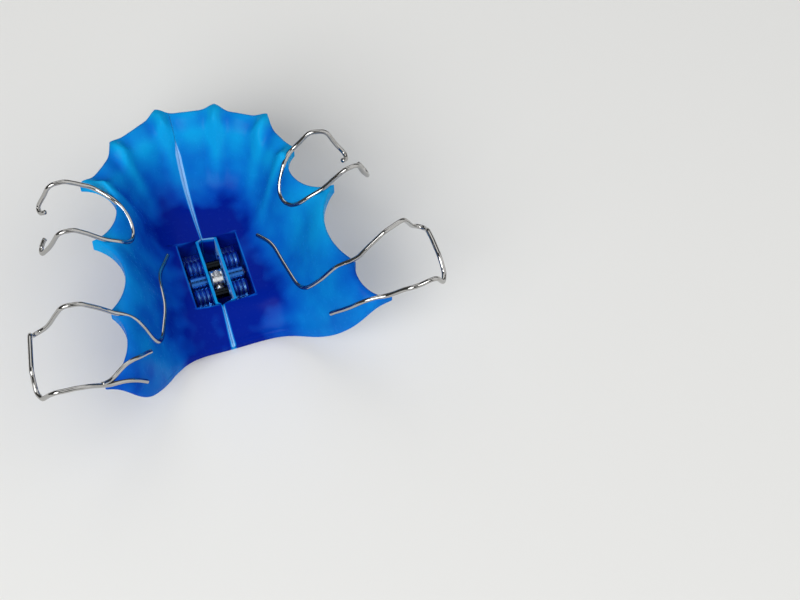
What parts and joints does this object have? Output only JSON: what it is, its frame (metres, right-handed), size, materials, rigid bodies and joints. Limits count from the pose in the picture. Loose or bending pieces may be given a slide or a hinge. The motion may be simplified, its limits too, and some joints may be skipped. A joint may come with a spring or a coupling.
{
  "type": "palatal expander",
  "caption": "Removable palatal expander: a split, scalloped blue acrylic plate, a key-turned expansion screw that pushes its halves apart, and steel wire clasps that grip the side teeth.",
  "frame": {"origin": "middle of the expansion screw's spindle, where the key holes cross", "axes": "+X along the spindle to the right half, +Y to the front teeth, +Z away from the palate"},
  "size_m": [0.0484, 0.0379, 0.018],
  "materials": {
    "acrylic": "clear blue, polished",
    "screw_steel": "turned",
    "clasp_wire": "bright drawn wire"
  },
  "bodies": {
    "core": {"front_guide_pin": "screw_steel", "rear_guide_pin": "screw_steel"},
    "spindle": {"spindle": "screw_steel"},
    "left_half": {"left_plate": "acrylic", "left_screw_body": "screw_steel", "left_molar_clasp": "clasp_wire", "left_front_clasp": "clasp_wire", "left_spur": "clasp_wire"},
    "right_half": {"right_plate": "acrylic", "right_screw_body": "screw_steel", "right_molar_clasp": "clasp_wire", "right_front_clasp": "clasp_wire"}
  },
  "joints": [
    {"name": "spindle_turn", "type": "hinge", "parent": "core", "child": "spindle", "pos_m": [0, 0, 0], "axis": [1, 0, 0], "range_deg": [0, 1440]},
    {"name": "left_slide", "type": "slide", "parent": "core", "child": "left_half", "axis": [-1, 0, 0], "range_m": [0, 0.0016]},
    {"name": "right_slide", "type": "slide", "parent": "core", "child": "right_half", "axis": [1, 0, 0], "range_m": [0, 0.0016]}
  ],
  "couplings": [
    {"joint": "right_slide", "follows": "left_slide", "ratio": 1},
    {"joint": "spindle_turn", "follows": "left_slide", "rad_per_m": 15708}
  ]
}
